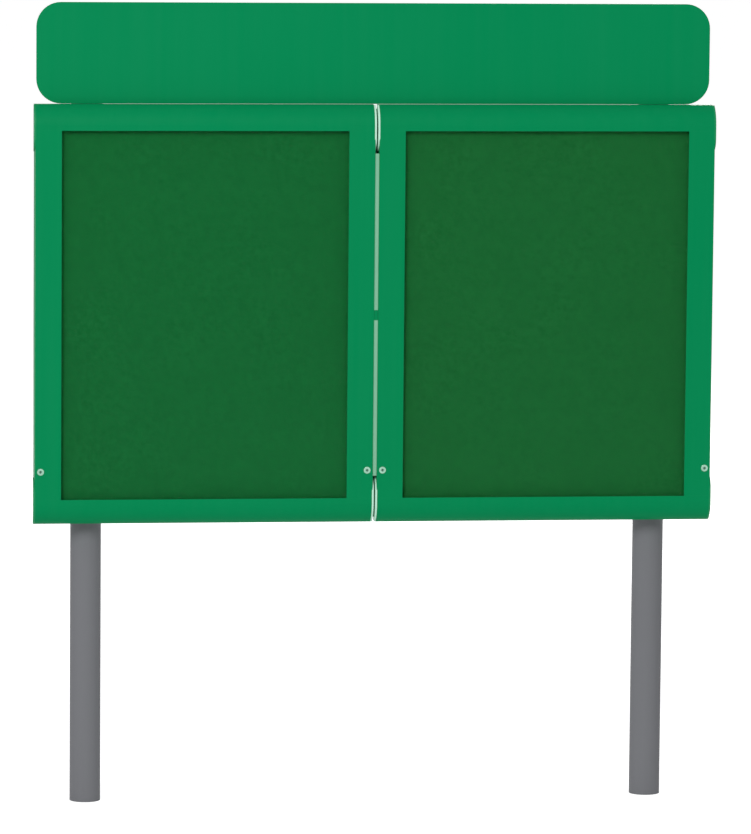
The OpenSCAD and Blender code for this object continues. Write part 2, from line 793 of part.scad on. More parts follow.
module lock_plug(side, edge) color(dark_metal)
    at_lock(side, edge) difference() {
        union() {
            translate([0, -lock_plug_proud, 0]) rod_y(lock_back_y + lock_plug_proud, lock_plug_dia);
            translate([0, lock_back_y - cut_over, 0])
                rod_y(cut_over + loose_fit + cam_t + lock_room, lock_tail_dia);
        }
        translate([-key_slot_w / 2, -lock_plug_proud - cut_over, -key_slot_h / 2])
            cube([key_slot_w, key_slot_d, key_slot_h]);
    }

module lock_cam(side, edge) color(zinc)
    at_lock(side, edge) translate([0, lock_back_y + loose_fit, 0]) difference() {
        union() {
            rod_y(cam_t, cam_w);
            translate([0, 0, -cam_w / 2]) cube([cam_len - cam_w / 2, cam_t, cam_w]);
            translate([cam_len - cam_w / 2, 0, 0]) rod_y(cam_t, cam_w);
        }
        translate([0, -cut_over, 0]) rod_y(cam_t + 2 * cut_over, lock_tail_dia);
    }

// Joint between the cases: two pale strips, with a block halfway up, bolted through both trays

module joint_holes()
    for (z = joint_bolt_z) translate([-case_gap, joint_bolt_y, case_z + z])
        rod_x(2 * case_gap, joint_bolt_dia + 2 * loose_fit);

module strip_plan() {
    translate([-strip_w / 2, strip_set]) square([strip_w, strip_head]);
    translate([-strip_web / 2, strip_set]) square([strip_web, joint_y - strip_set + cut_over]);
}

module strip_foot() translate([-case_gap / 2, joint_y]) square([case_gap, case_d - joint_y]);

module joint_strips() color(light_grey)
    in_sign() difference() {
        for (end = [0, 1]) translate([0, 0, case_z + case_h / 2]) mirror([0, 0, end]) {
            translate([0, 0, block_h / 2])
                linear_extrude((case_h - block_h) / 2 - cap_h - strip_end) strip_plan();
            translate([0, 0, block_h / 2])
                linear_extrude((case_h - block_h) / 2 - hinge_cut_z) strip_foot();
        }
        joint_holes();
    }

module joint_block() color(paint_green)
    in_sign() difference() {
        translate([0, 0, case_z + (case_h - block_h) / 2]) linear_extrude(block_h) {
            translate([-strip_w / 2, strip_set]) square([strip_w, joint_y - strip_set + cut_over]);
            strip_foot();
        }
        joint_holes();
    }

joint_nut_t = 5;
joint_nut_dia = 1.85 * joint_bolt_dia;

module joint_bolts() color(steel)
    in_sign() for (z = joint_bolt_z) translate([0, joint_bolt_y, case_z + z]) {
        grip = case_gap / 2 + tray_wall;
        translate([-grip - joint_nut_t, 0, 0]) rod_x(2 * grip + 2 * joint_nut_t, joint_bolt_dia);
        for (x = [-grip - joint_nut_t, grip])
            translate([x, 0, 0]) rotate([0, 90, 0]) cylinder(h = joint_nut_t, d = joint_nut_dia, $fn = 6);
    }

post(LEFT);  // post_left
post(RIGHT);  // post_right
post_caps();
header_panel();
header_rails();
bearers();
post_clamps();
clamp_bolts();
channel_nuts();
case_bolts();
fixing_nuts();
joint_strips();
joint_block();
joint_bolts();
strut_brackets();
hinge_leaves();
case_back(LEFT);  // case_back_left
case_back(RIGHT);  // case_back_right
case_rails(LEFT);  // case_rails_left
case_rails(RIGHT);  // case_rails_right
case_sides(LEFT);  // case_sides_left
case_sides(RIGHT);  // case_sides_right
pinboard(LEFT);  // pinboard_left
pinboard(RIGHT);  // pinboard_right
case_seal(LEFT);  // case_seal_left
case_seal(RIGHT);  // case_seal_right
door_rails(LEFT);  // door_rails_left
door_rails(RIGHT);  // door_rails_right
door_stiles(LEFT);  // door_stiles_left
door_stiles(RIGHT);  // door_stiles_right
glazing(LEFT);  // glazing_left
glazing(RIGHT);  // glazing_right
glazing_gasket(LEFT);  // glazing_gasket_left
glazing_gasket(RIGHT);  // glazing_gasket_right
glazing_beads(LEFT);  // glazing_beads_left
glazing_beads(RIGHT);  // glazing_beads_right
end_caps(LEFT, OUTER);  // end_caps_outer_left
end_caps(RIGHT, OUTER);  // end_caps_outer_right
end_caps(LEFT, INNER);  // end_caps_inner_left
end_caps(RIGHT, INNER);  // end_caps_inner_right
door_hinge(LEFT);  // door_hinge_left
door_hinge(RIGHT);  // door_hinge_right
hinge_pin(LEFT);  // hinge_pin_left
hinge_pin(RIGHT);  // hinge_pin_right
lock_housings(LEFT);  // lock_housings_left
lock_housings(RIGHT);  // lock_housings_right
strut_studs(LEFT);  // strut_studs_left
strut_studs(RIGHT);  // strut_studs_right
lock_plug(LEFT, OUTER);  // lock_plug_left_outer
lock_plug(LEFT, INNER);  // lock_plug_left_inner
lock_plug(RIGHT, INNER);  // lock_plug_right_inner
lock_plug(RIGHT, OUTER);  // lock_plug_right_outer
lock_cam(LEFT, OUTER);  // lock_cam_left_outer
lock_cam(LEFT, INNER);  // lock_cam_left_inner
lock_cam(RIGHT, INNER);  // lock_cam_right_inner
lock_cam(RIGHT, OUTER);  // lock_cam_right_outer
strut_cylinders(LEFT);  // strut_cylinders_left
strut_cylinders(RIGHT);  // strut_cylinders_right
strut_rods(LEFT);  // strut_rods_left
strut_rods(RIGHT);  // strut_rods_right
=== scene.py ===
"""Looks of a post-mounted outdoor sign: two display cases side by side, each with a glazed door
hinged along its top, a header board above them, and two round posts.

Metres, front towards -Y, origin on the ground under the middle. Every piece takes its place from
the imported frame. A value times mm is written in millimetres.
"""
import json
import math

import bmesh
import bpy
from mathutils import Matrix, Vector


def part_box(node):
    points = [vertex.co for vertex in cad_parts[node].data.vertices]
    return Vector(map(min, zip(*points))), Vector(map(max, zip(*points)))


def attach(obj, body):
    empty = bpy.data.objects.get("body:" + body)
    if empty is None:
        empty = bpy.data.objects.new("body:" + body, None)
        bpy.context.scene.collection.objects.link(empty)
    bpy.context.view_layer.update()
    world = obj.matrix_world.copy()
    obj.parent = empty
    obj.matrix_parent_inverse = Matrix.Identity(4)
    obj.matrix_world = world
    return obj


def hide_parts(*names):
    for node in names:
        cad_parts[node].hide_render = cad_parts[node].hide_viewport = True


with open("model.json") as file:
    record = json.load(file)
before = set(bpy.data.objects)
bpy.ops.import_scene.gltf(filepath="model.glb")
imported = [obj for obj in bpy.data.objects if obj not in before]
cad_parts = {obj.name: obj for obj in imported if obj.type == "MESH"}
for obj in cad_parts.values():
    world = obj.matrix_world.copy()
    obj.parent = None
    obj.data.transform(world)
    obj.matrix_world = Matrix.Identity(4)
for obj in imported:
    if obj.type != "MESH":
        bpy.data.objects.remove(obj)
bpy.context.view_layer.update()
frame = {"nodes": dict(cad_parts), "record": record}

SIDES = ("left", "right")
EDGES = ("outer", "inner")
mm = 0.001


def tone(red, green, blue):
    """A screen colour from 0 to 255, as the linear colour that shaders take."""
    def linear(part):
        part /= 255
        return part / 12.92 if part <= 0.04045 else ((part + 0.055) / 1.055) ** 2.4
    return (linear(red), linear(green), linear(blue), 1.0)


# Node trees

class Wire:
    """A number that runs through a node tree. Either side of an operator may be a plain number."""

    def __init__(self, tree, socket):
        self.tree, self.socket = tree, socket

    def __add__(self, other): return self.tree.maths("ADD", self, other)
    def __sub__(self, other): return self.tree.maths("SUBTRACT", self, other)
    def __pow__(self, other): return self.tree.maths("POWER", self, other)
    def __radd__(self, other): return self.tree.maths("ADD", other, self)
    def __rsub__(self, other): return self.tree.maths("SUBTRACT", other, self)
    def __rmul__(self, other): return self.tree.maths("MULTIPLY", other, self)


class Tree:
    """Adds nodes to a shader tree or a geometry tree."""

    def __init__(self, owner):
        self.nodes, self.links = owner.nodes, owner.links

    def add(self, kind, settings=None, sockets=None, output=0):
        """One node. Its settings come first, then the values or wires of its sockets."""
        node = self.nodes.new(kind)
        for name, value in (settings or {}).items():
            if name == "stops":
                self.set_stops(node.color_ramp, value)
            else:
                setattr(node, name, value)
        for name, value in (sockets or {}).items():
            if isinstance(value, Wire):
                self.links.new(value.socket, node.inputs[name])
            else:
                node.inputs[name].default_value = value
        return Wire(self, node.outputs[output]) if node.outputs else None

    @staticmethod
    def set_stops(ramp, stops):
        """Stops of a grey ramp, each with its place and its level."""
        while len(ramp.elements) < len(stops):
            ramp.elements.new(1.0)
        for element, (place, level) in zip(ramp.elements, stops):
            element.position = place
            element.color = (level, level, level, 1.0)

    def maths(self, operation, *values):
        return self.add("ShaderNodeMath", {"operation": operation}, dict(enumerate(values)))


class Finish(Tree):
    """The shader tree of one material. Patterns sit in the frame's own space, so they run on from
    piece to piece."""

    def __init__(self, name="finish"):
        self.material = bpy.data.materials.new(name)
        self.material.use_nodes = True
        super().__init__(self.material.node_tree)
        self.nodes.clear()

    def place(self, stretch=(1, 1, 1)):
        place = self.add("ShaderNodeTexCoord", output="Object")
        return self.add("ShaderNodeMapping", sockets={"Vector": place, "Scale": stretch})

    def noise(self, per_metre, detail=2.0, rough=0.5, stretch=(1, 1, 1), twist=0.0):
        """Noise about 0.5, with so many spots in a metre. Stretch multiplies them along each
        axis."""
        return self.add("ShaderNodeTexNoise", {"noise_dimensions": "3D"}, {
            "Vector": self.place(stretch), "Scale": per_metre, "Detail": detail,
            "Roughness": rough, "Distortion": twist})

    def crystals(self, per_metre):
        """A shade of its own for each cell of a pattern of cells."""
        cells = self.add("ShaderNodeTexVoronoi", {"feature": "F1"}, {
            "Vector": self.place(), "Scale": per_metre, "Randomness": 1.0}, "Color")
        return self.add("ShaderNodeSeparateColor", sockets={"Color": cells})

    def ramp(self, value, *stops):
        return self.add("ShaderNodeValToRGB", {"stops": stops}, {"Fac": value})

    def mix(self, first, second, share):
        """From the first colour to the second. A colour mix has its sockets at 6 and 7, and its
        result at 2."""
        return self.add("ShaderNodeMix", {"data_type": "RGBA"}, {0: share, 6: first, 7: second}, 2)

    def edge(self, width):
        """Near 1 along an edge and 0 on a face, from how far the rounded normal leans from the
        true one."""
        rounded = self.add("ShaderNodeBevel", {"samples": 4}, {"Radius": width})
        true = self.add("ShaderNodeNewGeometry", output="Normal")
        lean = self.add("ShaderNodeVectorMath", {"operation": "DOT_PRODUCT"},
                        {0: rounded, 1: true}, 1)
        return self.ramp(1 - lean, (0.02, 0.0), (0.25, 1.0))

    def bump(self, height, depth):
        return self.add("ShaderNodeBump", sockets={
            "Height": height, "Distance": depth, "Strength": 1.0})

    def shader(self, **sockets):
        """A Principled shader. Sockets are given by name, with _ for a space."""
        return self.add("ShaderNodeBsdfPrincipled", sockets={
            name.replace("_", " "): value for name, value in sockets.items()})

    def done(self, shader):
        self.add("ShaderNodeOutputMaterial", sockets={"Surface": shader})
        return self.material


# Finishes

def powder_coat(colour, dusted, peel_depth=0.02 * mm, roughness=0.42):
    """Satin powder coat: orange peel, dust that rain has drawn down the faces, and thin colour
    along the edges."""
    look = Finish()
    peel = look.noise(per_metre=620, detail=1.5)
    fade = look.noise(per_metre=2.3, detail=3)
    rain = look.noise(per_metre=1, detail=5, rough=0.6, stretch=(60, 60, 1.3))
    specks = look.ramp(look.noise(per_metre=240, detail=3, rough=0.7), (0.66, 0.0), (0.74, 1.0))
    dust = 0.03 + 0.10 * (fade - 0.5) + 0.16 * (rain - 0.5) + 0.05 * specks
    return look.done(look.shader(
        Base_Color=look.mix(colour, dusted, dust + 0.3 * look.edge(0.8 * mm)),
        Roughness=roughness + 0.10 * (fade - 0.5) + 0.16 * (rain - 0.5) + 0.06 * specks,
        Normal=look.bump(peel, peel_depth),
        Specular_IOR_Level=0.04))


def zinc_coat(dark, pale, bloomed, grain_depth=0.02 * mm):
    """Hot-dipped zinc: crystals that catch the light each in their own way, and a grey bloom."""
    look = Finish()
    drift = look.noise(per_metre=30, detail=2)
    crystal = look.crystals(per_metre=95)
    bloom = look.ramp(look.noise(per_metre=9, detail=6, rough=0.65), (0.42, 0.0), (0.72, 1.0))
    grain = look.noise(per_metre=900, detail=2)
    return look.done(look.shader(
        Base_Color=look.mix(look.mix(dark, pale, crystal), bloomed, 0.55 * bloom),
        Metallic=0.85 - 0.35 * bloom,
        Roughness=0.36 + 0.14 * crystal + 0.16 * bloom + 0.05 * drift,
        Normal=look.bump(grain, grain_depth)))


def bright_metal(colour, roughness, drawn=(1, 1, 1), scratch_depth=0.004 * mm, dulling=0.72):
    """Plain metal with fine lines along the way it was drawn or turned, and a dull film."""
    look = Finish()
    lines = look.noise(per_metre=500, detail=4, rough=0.6, stretch=drawn)
    film = look.noise(per_metre=40, detail=4, rough=0.6)
    filmed = tuple(dulling * part for part in colour[:3]) + (1.0,)
    return look.done(look.shader(
        Base_Color=look.mix(colour, filmed, look.ramp(film, (0.4, 0.0), (0.8, 1.0))),
        Metallic=1.0,
        Roughness=roughness + 0.12 * (lines - 0.5) + 0.14 * (film - 0.5),
        Normal=look.bump(lines, scratch_depth)))


def needle_felt(colour, deep, pale, pile_depth=0.5 * mm):
    """Needle felt: short fibres lying every way, in tufts, with a faint cloudiness over the
    board."""
    look = Finish()
    upright = look.noise(per_metre=950, detail=3, rough=0.7, stretch=(1, 1, 0.3), twist=1.5)
    across = look.noise(per_metre=950, detail=3, rough=0.7, stretch=(0.3, 1, 1), twist=1.5)
    tufts = look.noise(per_metre=120, detail=5, rough=0.65, twist=0.6)
    cloud = look.noise(per_metre=9, detail=3)
    pile = 0.5 * (upright + across)
    light = (0.5 * look.ramp(pile, (0.42, 0.0), (0.58, 1.0))
             + 0.5 * look.ramp(tufts, (0.36, 0.0), (0.62, 1.0)))
    shade = look.mix(deep, pale, light)
    return look.done(look.shader(
        Base_Color=look.mix(colour, shade, 0.75 + 0.5 * (cloud - 0.5)),
        Roughness=0.92 + 0.08 * pile,
        Normal=look.bump(pile + 0.6 * tufts, pile_depth),
        Specular_IOR_Level=0.02))


def moulded(colour, dusted, roughness, grain_depth=0.03 * mm, gloss=0.3):
    """Moulded plastic or rubber: a fine spark-eroded grain, flow marks and a little dust."""
    look = Finish()
    grain = look.noise(per_metre=1400, detail=2)
    flow = look.noise(per_metre=14, detail=3, stretch=(1, 1, 3), twist=0.8)
    dust = look.ramp(look.noise(per_metre=45, detail=5, rough=0.65), (0.45, 0.0), (0.8, 1.0))
    worn = 0.10 * flow + 0.22 * dust + 0.25 * look.edge(0.6 * mm)
    return look.done(look.shader(
        Base_Color=look.mix(colour, dusted, worn),
        Roughness=roughness + 0.10 * (flow - 0.5) + 0.12 * dust,
        Normal=look.bump(grain, grain_depth),
        Specular_IOR_Level=gloss))


def clear_sheet(tint, shine):
    """Clear glazing: seen through from the front, with gloss that grows towards a glancing view,
    and faint wiping marks."""
    look = Finish()
    wiped = look.noise(per_metre=1, detail=5, rough=0.65, stretch=(9, 1, 26), twist=0.4)
    slant = look.add("ShaderNodeLayerWeight", sockets={"Blend": 0.35}, output="Facing")
    glance = look.ramp(slant, (0.3, 0.0), (1.0, 1.0))
    clear = look.add("ShaderNodeBsdfTransparent", sockets={"Color": tint})
    gloss = look.shader(Base_Color=shine, Roughness=0.09 + 0.08 * wiped, Metallic=1.0)
    share = 0.0005 + 0.45 * glance ** 2 + 0.001 * wiped
    return look.done(look.add("ShaderNodeMixShader", sockets={0: share, 1: clear, 2: gloss}))


GREEN = tone(0, 136, 82)
FINISHES = {
    "green_coat": powder_coat(GREEN, dusted=tone(46, 150, 104)),
    "post_coat": powder_coat(tone(121, 122, 126), dusted=tone(143, 144, 147),
                             peel_depth=0.03 * mm, roughness=0.46),
    "zinc_coat": zinc_coat(dark=tone(176, 180, 184), pale=tone(206, 209, 212),
                           bloomed=tone(168, 171, 173)),
    "fastener_steel": bright_metal(tone(214, 215, 216), roughness=0.34, drawn=(1, 1, 6)),
    "felt_left": needle_felt(tone(20, 102, 49), deep=tone(13, 88, 41), pale=tone(30, 118, 60)),
    "felt_right": needle_felt(tone(24, 101, 48), deep=tone(17, 87, 40), pale=tone(35, 117, 58)),
    "clear_sheet": clear_sheet(tint=(0.965, 0.985, 0.975, 1.0), shine=(0.9, 0.95, 0.93, 1.0)),
    "seal_rubber": moulded(tone(30, 31, 31), dusted=tone(84, 84, 80), roughness=0.72,
                           grain_depth=0.05 * mm),
    "cap_plastic": moulded(tone(36, 37, 38), dusted=tone(92, 92, 90), roughness=0.5),
    "green_plastic": moulded(GREEN, dusted=tone(60, 158, 114), roughness=0.38, gloss=0.2),
    "grey_plastic": moulded(tone(198, 240, 218), dusted=tone(180, 212, 196), roughness=0.45,
                            gloss=0.1),
    "strip_plastic": moulded(tone(136, 192, 160), dusted=tone(126, 176, 148), roughness=0.5,
                             gloss=0.1),
    "lock_metal": bright_metal(tone(148, 190, 168), roughness=0.26),
    "plug_metal": bright_metal(tone(92, 124, 108), roughness=0.34),
    "strut_coat": moulded(tone(24, 24, 26), dusted=tone(70, 70, 70), roughness=0.28,
                          grain_depth=0.004 * mm, gloss=0.5),
    "bright_rod": bright_metal(tone(228, 229, 231), roughness=0.12, drawn=(1, 1, 0.05),
                               scratch_depth=0.002 * mm),
}
for name, material in FINISHES.items():
    material.name = name


# Meshes

WELD = 0.002 * mm
FLAT = math.radians(0.4)
SHARP = math.radians(28)


def welded(node):
    """The node's loose triangles as one form with its doubles merged."""
    form = bmesh.new()
    form.from_mesh(frame["nodes"][node].data)
    bmesh.ops.remove_doubles(form, verts=form.verts, dist=WELD)
    return form


def made_mesh(form, name="form"):
    mesh = bpy.data.meshes.new(name)
    form.to_mesh(mesh)
    form.free()
    return mesh


def joined_up(node):
    """The node as one clean mesh, with its flat triangles joined into whole faces."""
    form = welded(node)
    bmesh.ops.dissolve_limit(form, angle_limit=FLAT, verts=form.verts, edges=form.edges)
    places = [vertex.co.copy() for vertex in form.verts]
    faces = [[vertex.index for vertex in face.verts] for face in form.faces]
    form.free()
    mesh = bpy.data.meshes.new(node)
    mesh.from_pydata(places, [], faces)
    return mesh


def corners(places):
    """The lowest and the highest corner of the box round some places."""
    return tuple(Vector(pick(place[axis] for place in places) for axis in range(3))
                 for pick in (min, max))


def solids_of(node):
    """The lowest and highest corner of each separate solid in a node."""
    form = welded(node)
    met, boxes = set(), []
    for first in form.verts:
        waiting, places = [first], []
        while waiting:
            vertex = waiting.pop()
            if vertex not in met:
                met.add(vertex)
                places.append(vertex.co.copy())
                waiting += [edge.other_vert(vertex) for edge in vertex.link_edges]
        if places:
            boxes.append(corners(places))
    form.free()
    return boxes


def skinned(rings, looped=False):
    """A mesh over rings of points: capped at both ends, or joined from the last ring to the
    first."""
    form = bmesh.new()
    rows = [[form.verts.new(place) for place in ring] for ring in rings]
    pairs = list(zip(rows, rows[1:])) + ([(rows[-1], rows[0])] if looped else [])
    for low, high in pairs:
        for i in range(len(low)):
            j = (i + 1) % len(low)
            form.faces.new((low[i], low[j], high[j], high[i]))
    if not looped:
        form.faces.new(rows[0])
        form.faces.new(rows[-1])
    bmesh.ops.recalc_face_normals(form, faces=form.faces)
    return made_mesh(form)


def turned(profile, steps=32, looped=False):
    """Turns a profile of (radius, height) about Z."""
    angles = [math.tau * i / steps for i in range(steps)]
    return skinned([[(r * math.cos(a), r * math.sin(a), z) for a in angles] for r, z in profile],
                   looped)


CORNER_CUT = math.radians(30)
TURNED_FACE = 0.97


def hexagon(across, height, bore=0.0, steps=6):
    """A hexagon head or nut, as wide as given over its corners, with the corners turned off at
    its outer end."""
    side = math.tau / 6
    flats = across / 2 * math.cos(side / 2)
    face = flats * TURNED_FACE
    angles = [side * i / steps for i in range(6 * steps)]
    reach = [flats / math.cos(angle % side - side / 2) for angle in angles]

    def ring(radii, heights):
        return [(r * math.cos(a), r * math.sin(a), z) for a, r, z in zip(angles, radii, heights)]

    def level(size):
        return [size for _ in angles]

    rings = [
        ring(reach, level(0.0)),
        ring(reach, [height - (r - face) * math.tan(CORNER_CUT) for r in reach]),
        ring(level(face), level(height))]
    if bore:
        rings += [ring(level(bore), level(z)) for z in (height, 0.0)]
    return skinned(rings, looped=bool(bore))


def together(*meshes):
    form = bmesh.new()
    for mesh in meshes:
        form.from_mesh(mesh)
    return made_mesh(form)


def shifted(mesh, along):
    """Moves a mesh up."""
    mesh.transform(Matrix.Translation((0, 0, along)))
    return mesh


def facing(mesh, way):
    """Turns a mesh that points up to point the given way."""
    mesh.transform(Vector((0, 0, 1)).rotation_difference(Vector(way)).to_matrix().to_4x4())
    return mesh


def new_piece(name, mesh):
    piece = bpy.data.objects.new(name, mesh)
    bpy.context.scene.collection.objects.link(piece)
    return piece


def settled(piece):
    """Turns what the piece's modifiers make of it into its own plain mesh."""
    state = bpy.context.evaluated_depsgraph_get()
    mesh = bpy.data.meshes.new_from_object(piece.evaluated_get(state), depsgraph=state)
    piece.modifiers.clear()
    piece.data = mesh
    return piece


def smooth(mesh):
    mesh.shade_smooth()
    mesh.set_sharp_from_angle(angle=SHARP)


BODY_OF = {node: body for body, nodes in frame["record"]["behaviour"]["bodies"].items()
           for node in nodes}
SLOT_OF = {part["node"]: part["material_slot"] for part in frame["record"]["subparts"]}
SLOTS = set(SLOT_OF.values())


def finished(piece, node, finish=None, stands_for=True):
    """Gives a piece its finish and the body of a CAD node, which it may stand for."""
    finish = finish or SLOT_OF[node]
    piece.data.materials.clear()
    piece.data.materials.append(FINISHES[finish])
    finish if finish in SLOTS else SLOT_OF[node]
    if stands_for:
        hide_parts(node)
    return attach(piece, BODY_OF[node])


# Pieces in the frame's own form, with the round edges that folding, moulding and coating leave

def softened(node, radius, finish=None, steps=2):
    """The node's own form with every sharp edge rounded to the radius."""
    mesh = joined_up(node)
    smooth(mesh)
    piece = new_piece(node + "_piece", mesh)
    rounding = piece.modifiers.new("rounding", "BEVEL")
    rounding.width = radius
    rounding.segments = steps
    rounding.limit_method = "ANGLE"
    rounding.angle_limit = SHARP
    rounding.harden_normals = True
    return finished(settled(piece), node, finish)


def both(*names):
    return [f"{name}_{side}" for name in names for side in SIDES]


def each_lock(name):
    return [f"{name}_{side}_{edge}" for side in SIDES for edge in EDGES]


ROUNDED = {
    0.9 * mm: ["header_panel"],
    0.7 * mm: both("end_caps_outer", "end_caps_inner"),
    0.6 * mm: ["post_left", "post_right"] + both("case_back"),
    0.5 * mm: both("case_rails", "case_sides", "glazing_beads"),
    0.45 * mm: both("lock_housings"),
    0.4 * mm: ["strut_brackets", "joint_block"] + both("strut_studs", "strut_rods"),
    0.3 * mm: both("glazing") + each_lock("lock_cam"),
    0.25 * mm: both("door_rails", "door_stiles"),
    0.2 * mm: each_lock("lock_plug"),
    0.15 * mm: ["hinge_leaves"] + both("door_hinge"),
}
STRIP_EDGE = 0.4 * mm
FELT_EDGE = 1.6 * mm
for radius, nodes in ROUNDED.items():
    for node in nodes:
        softened(node, radius)
softened("joint_strips", STRIP_EDGE, "strip_plastic")
for side in SIDES:
    softened(f"pinboard_{side}", FELT_EDGE, f"felt_{side}", steps=4)

for node in ["channel_nuts"] + both("hinge_pin", "glazing_gasket"):
    for slot in frame["nodes"][node].material_slots:
        slot.material = FINISHES[SLOT_OF[node]]


# Geometry rules for what repeats or follows a path

class Rule(Tree):
    """A geometry tree with named inputs. It is run once for a piece, and leaves a plain mesh."""

    def __init__(self, name, **inputs):
        self.group = bpy.data.node_groups.new(name, "GeometryNodeTree")
        super().__init__(self.group)
        made = self.group.interface.new_socket
        self.keys = {
            label: made(label, in_out="INPUT", socket_type="NodeSocket" + kind).identifier
            for label, kind in inputs.items()}
        made("Geometry", in_out="OUTPUT", socket_type="NodeSocketGeometry")
        self.given = self.nodes.new("NodeGroupInput")

    def input(self, label):
        return Wire(self, self.given.outputs[label])

    def ends_in(self, geometry):
        whole = self.add("GeometryNodeRealizeInstances", sockets={"Geometry": geometry})
        painted = self.add("GeometryNodeSetMaterial", sockets={
            "Geometry": whole, "Material": self.input("Finish")})
        self.add("NodeGroupOutput", sockets={"Geometry": painted})

    def run(self, name, mesh, **values):
        piece = new_piece(name, mesh)
        made = piece.modifiers.new(name, "NODES")
        made.node_group = self.group
        for label, value in values.items():
            made[self.keys[label]] = value
        return settled(piece)


def placing_rule():
    """Puts one fastener at every point of a mesh."""
    rule = Rule("fasteners", Points="Geometry", Fastener="Object", Finish="Material")
    one = rule.add("GeometryNodeObjectInfo", {"transform_space": "ORIGINAL"}, {
        "Object": rule.input("Fastener"), "As Instance": True}, "Geometry")
    rule.ends_in(rule.add("GeometryNodeInstanceOnPoints", sockets={
        "Points": rule.input("Points"), "Instance": one}))
    return rule


def sealing_rule(corner_steps=6, lobe_steps=12):
    """Runs a half-round seal along the middle of a frame with rounded corners, its flat side
    down."""
    rule = Rule("seal", Width="Float", Height="Float", Corner="Float", Seal_Width="Float",
                Seal_Depth="Float", Finish="Material")
    path = rule.add("GeometryNodeCurvePrimitiveQuadrilateral", {"mode": "RECTANGLE"}, {
        "Width": rule.input("Width") - rule.input("Seal_Width"),
        "Height": rule.input("Height") - rule.input("Seal_Width")})
    path = rule.add("GeometryNodeFilletCurve", {"mode": "POLY"}, {
        "Curve": path, "Radius": rule.input("Corner"), "Count": corner_steps})
    # The lobe starts as half a round, 1 wide and half as high
    lobe = rule.add("GeometryNodeCurveArc", {"mode": "RADIUS"}, {
        "Resolution": lobe_steps, "Radius": 0.5, "Start Angle": 0.0, "Sweep Angle": math.pi,
        "Connect Center": True})
    size = rule.add("ShaderNodeCombineXYZ", sockets={
        "X": rule.input("Seal_Width"), "Y": 2 * rule.input("Seal_Depth"), "Z": 1.0})
    lobe = rule.add("GeometryNodeTransform", sockets={"Geometry": lobe, "Scale": size})
    rule.ends_in(rule.add("GeometryNodeCurveToMesh", sockets={
        "Curve": path, "Profile Curve": lobe}))
    return rule


def folding_rule(fold_steps=8, edge_steps=2):
    """Folds a strip of sheet along a path. Each corner of the path keeps its own radius as its
    fold."""
    rule = Rule("folded_strip", Path="Geometry", Across="Vector", Thickness="Float",
                Width="Float", Edge="Float", Finish="Material")
    fold = rule.add("GeometryNodeInputNamedAttribute", {"data_type": "FLOAT"}, {"Name": "fold"},
                    "Attribute")
    path = rule.add("GeometryNodeMeshToCurve", sockets={"Mesh": rule.input("Path")})
    path = rule.add("GeometryNodeFilletCurve", {"mode": "POLY"}, {
        "Curve": path, "Radius": fold, "Count": fold_steps})
    path = rule.add("GeometryNodeSetCurveNormal", {"mode": "FREE"}, {
        "Curve": path, "Normal": rule.input("Across")})
    sheet = rule.add("GeometryNodeCurvePrimitiveQuadrilateral", {"mode": "RECTANGLE"}, {
        "Width": rule.input("Width"), "Height": rule.input("Thickness")})
    sheet = rule.add("GeometryNodeFilletCurve", {"mode": "POLY"}, {
        "Curve": sheet, "Radius": rule.input("Edge"), "Count": edge_steps})
    rule.ends_in(rule.add("GeometryNodeCurveToMesh", sockets={
        "Curve": path, "Profile Curve": sheet, "Fill Caps": True}))
    return rule


PLACING = placing_rule()
SEALING = sealing_rule()
FOLDING = folding_rule()


def repeated(name, fastener, places, node, stands_for=False, finish=None):
    """One piece of many alike: the fastener's mesh at each place, on the body of a CAD node."""
    smooth(fastener)
    pattern = new_piece(name + "_pattern", fastener)
    points = bpy.data.meshes.new(name)
    points.from_pydata(places, [], [])
    piece = PLACING.run(name, points, Fastener=pattern,
                        Finish=FINISHES[finish or SLOT_OF[node]])
    bpy.data.objects.remove(pattern)
    return finished(piece, node, finish, stands_for)


# Channels and clamps: strips of zinc-coated sheet with rolled folds

SHEET_EDGE = 0.5 * mm
CHANNEL_WALL = 2.5 * mm
CHANNEL_SLOT = 22 * mm
CHANNEL_FOLD = 2.2 * mm
CLAMP_STRIP = 4 * mm
CLAMP_FOLD = 4 * mm
CLAMP_PLAY = 0.1 * mm
# The two folds behind a post fall just short of meeting
ROUND_POST = 0.998


def folded(name, paths, across, thickness, width, node):
    """Strips of sheet on the body of a CAD node. A path is a list of corners, each with its place
    and the radius of its fold."""
    mesh = bpy.data.meshes.new(name)
    steps, count = [], 0
    for path in paths:
        steps += [(count + i, count + i + 1) for i in range(len(path) - 1)]
        count += len(path)
    mesh.from_pydata([place for path in paths for place, _ in path], steps, [])
    folds = mesh.attributes.new("fold", "FLOAT", "POINT")
    folds.data.foreach_set("value", [fold for path in paths for _, fold in path])
    piece = FOLDING.run(name, mesh, Across=across, Thickness=thickness, Width=width,
                        Edge=SHEET_EDGE, Finish=FINISHES[SLOT_OF[node]])
    smooth(piece.data)
    return finished(piece, node)


def channel_path(low, high):
    """Round a channel that is open at the back, from one lip of its slot to the other."""
    x, middle = (low.x + high.x) / 2, (low.z + high.z) / 2
    lip, half = CHANNEL_SLOT / 2, CHANNEL_WALL / 2
    front, back = low.y + half, high.y - half
    bottom, top = low.z + half, high.z - half
    return [((x, back, middle + lip), 0),
            ((x, back, top), CHANNEL_FOLD), ((x, front, top), CHANNEL_FOLD),
            ((x, front, bottom), CHANNEL_FOLD), ((x, back, bottom), CHANNEL_FOLD),
            ((x, back, middle - lip), 0)]


